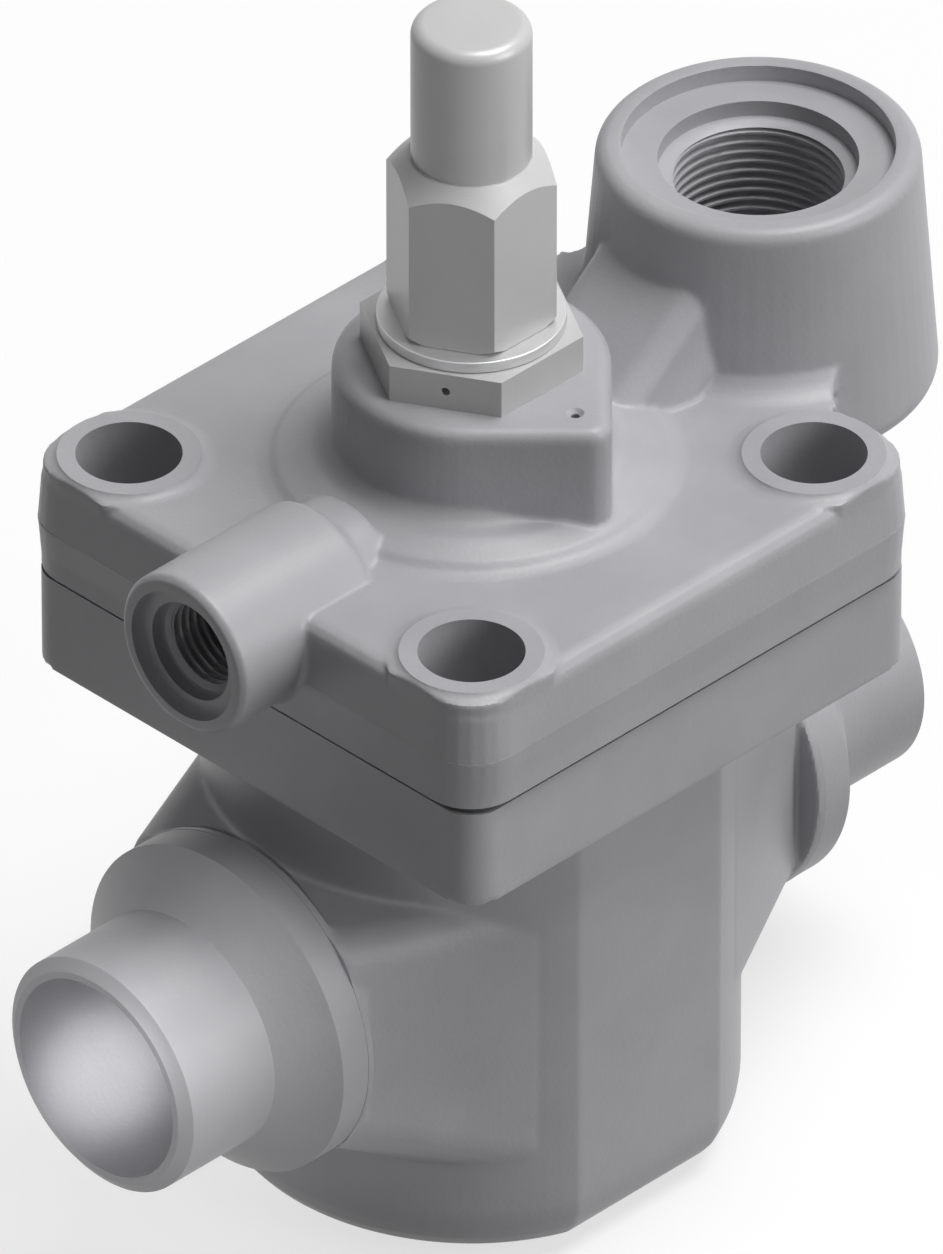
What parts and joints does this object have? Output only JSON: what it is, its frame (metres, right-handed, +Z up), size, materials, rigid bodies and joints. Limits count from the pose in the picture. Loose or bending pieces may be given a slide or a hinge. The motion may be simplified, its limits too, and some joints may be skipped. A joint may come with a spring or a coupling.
{
  "type": "pilot_operated_servo_valve",
  "caption": "Cast steel pilot-operated servo valve with butt-weld ends, a threaded pilot port, a gauge port and a manual spindle under a hexagon cap",
  "frame": {"origin": "middle of the body's flat base, on the main axis", "axes": "+X runs along the pipe axis to the outlet, on the side of the pilot port. +Y runs across the pipe axis, away from the pointed side of the middle boss. +Z runs up along the main axis to the cap."},
  "size_m": [0.1458, 0.084, 0.1737],
  "materials": {
    "cast_body": "satin",
    "cast_cover": "satin",
    "gasket_fibre": "matte",
    "machined_steel": "satin",
    "polished_steel": "polished",
    "spring_steel": "satin",
    "seal_rubber": "matte",
    "white_plastic": "matte",
    "bush_bronze": "satin",
    "packing_graphite": "matte",
    "plated_nut": "satin",
    "aluminium_washer": "satin",
    "plated_cap": "satin"
  },
  "bodies": {
    "housing": {"valve_body": "cast_body", "top_cover": "cast_cover", "cover_gasket": "gasket_fibre", "module_sleeve": "machined_steel", "sleeve_ring_upper": "seal_rubber", "sleeve_ring_lower": "seal_rubber", "seat_ring": "polished_steel", "rod_bush": "bush_bronze", "spring_cup": "machined_steel", "closing_spring": "spring_steel", "packing_ring": "packing_graphite", "gland_nut": "plated_nut", "gland_gasket": "gasket_fibre"},
    "servo": {"servo_piston": "machined_steel", "piston_ring": "white_plastic", "piston_nut": "plated_nut", "push_rod": "polished_steel", "throttle_cone": "machined_steel", "valve_plate": "white_plastic", "cone_nut": "plated_nut"},
    "spindle_seal": {"spindle_ring": "seal_rubber"},
    "spindle": {"manual_spindle": "polished_steel"},
    "cap_washer": {"cap_gasket": "aluminium_washer"},
    "cap": {"spindle_cap": "plated_cap"}
  },
  "joints": [
    {"name": "valve_lift", "type": "slide", "parent": "housing", "child": "servo", "axis": [0, 0, -1], "range_m": [0, 0.006], "stiffness_N_per_m": 1500, "springref_m": -0.006, "deforming": ["closing_spring"]},
    {"name": "spindle_travel", "type": "slide", "parent": "housing", "child": "spindle_seal", "axis": [0, 0, -1], "range_m": [0, 0.007]},
    {"name": "spindle_turn", "type": "hinge", "parent": "spindle_seal", "child": "spindle", "pos_m": [0, 0, 0.12], "axis": [0, 0, -1], "range_deg": [0, 1440]},
    {"name": "cap_travel", "type": "slide", "parent": "housing", "child": "cap_washer", "axis": [0, 0, 1], "range_m": [0, 0.012]},
    {"name": "cap_turn", "type": "hinge", "parent": "cap_washer", "child": "cap", "pos_m": [0, 0, 0.14], "axis": [0, 0, 1], "range_deg": [0, 2880]}
  ],
  "couplings": [
    {"joint": "spindle_turn", "follows": "spindle_travel", "rad_per_m": 3590.3},
    {"joint": "cap_turn", "follows": "cap_travel", "rad_per_m": 4188.7}
  ]
}
